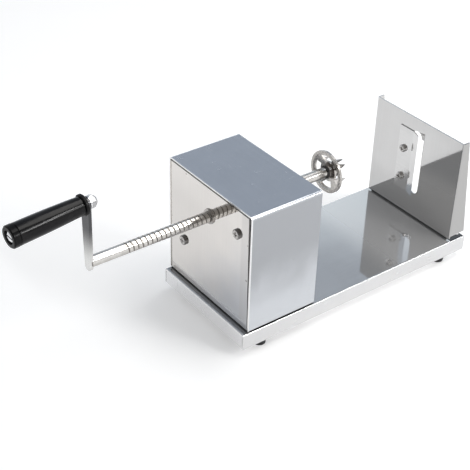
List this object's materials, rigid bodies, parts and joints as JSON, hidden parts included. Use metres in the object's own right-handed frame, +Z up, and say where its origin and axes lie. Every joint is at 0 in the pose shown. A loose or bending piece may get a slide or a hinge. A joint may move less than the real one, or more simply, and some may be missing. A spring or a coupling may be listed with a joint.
{
  "type": "hand cranked spiral potato cutter",
  "caption": "Table-top cutter: a hand crank turns a screw-fed rod with a toothed disc that drives a potato onto a slotted blade plate.",
  "frame": {"origin": "on the table, in the middle of the overall length and on the vertical plane of the feed screw", "axes": "+X along the feed screw from the crank to the blade plate, +Z up, +Y to the left of that feed direction"},
  "size_m": [0.4532, 0.1204, 0.1789],
  "materials": {
    "tray_steel": "polished on top, satin on the skirts",
    "cover_steel": "fine satin",
    "panel_steel": "mirror polished",
    "plate_steel": "mirror polished",
    "blade_steel": "ground and polished",
    "rod_steel": "bright turned",
    "nut_steel": "dark turned",
    "arm_steel": "satin",
    "disc_steel": "satin, rolled rim",
    "bush_brass": "turned",
    "bright_fastener": "bright plated",
    "screw_steel": "passivated",
    "grip_plastic": "gloss black",
    "collar_plastic": "semi matt black",
    "foot_rubber": "matt",
    "ring_rubber": "matt"
  },
  "bodies": {
    "machine": {"base_tray": "tray_steel", "rubber_feet": "foot_rubber", "foot_screws": "screw_steel", "foot_nuts": "screw_steel", "mount_washers": "screw_steel", "housing_cover": "cover_steel", "cover_screws": "screw_steel", "cover_nuts": "screw_steel", "front_panel": "panel_steel", "rear_panel": "panel_steel", "panel_screws": "screw_steel", "panel_nuts": "screw_steel", "nut_plate": "arm_steel", "nut_plate_screws": "screw_steel", "nut_plate_nuts": "screw_steel", "feed_nut": "nut_steel", "rear_bush": "bush_brass", "blade_plate": "plate_steel", "cutting_blade": "blade_steel", "blade_screws": "screw_steel", "blade_nuts": "screw_steel", "plate_screws": "screw_steel", "plate_nuts": "screw_steel"},
    "buffer": {"buffer_ring": "ring_rubber"},
    "crank": {"screw_shaft": "rod_steel", "crank_arm": "arm_steel", "grip_collar": "collar_plastic", "grip_axle": "bright_fastener", "lock_washer": "bright_fastener", "cap_nut": "bright_fastener", "holder_disc": "disc_steel", "set_collar": "nut_steel", "grub_screw": "bright_fastener"},
    "grip": {"handle_grip": "grip_plastic", "grip_end_cap": "grip_plastic"}
  },
  "joints": [
    {"name": "screw_feed", "type": "slide", "parent": "machine", "child": "buffer", "axis": [1, 0, 0], "range_m": [-0.04725, 0.07875]},
    {"name": "crank_turn", "type": "hinge", "parent": "buffer", "child": "crank", "pos_m": [-0.15586, 0, 0.1117], "axis": [1, 0, 0], "range_deg": [-3780, 6300]},
    {"name": "grip_spin", "type": "hinge", "parent": "crank", "child": "grip", "pos_m": [-0.1579, -0.00423, 0.17011], "axis": [-0.997, -0.0671, -0.0397], "continuous": true}
  ],
  "couplings": [
    {"joint": "screw_feed", "follows": "crank_turn", "m_per_rad": 0.0007162}
  ]
}
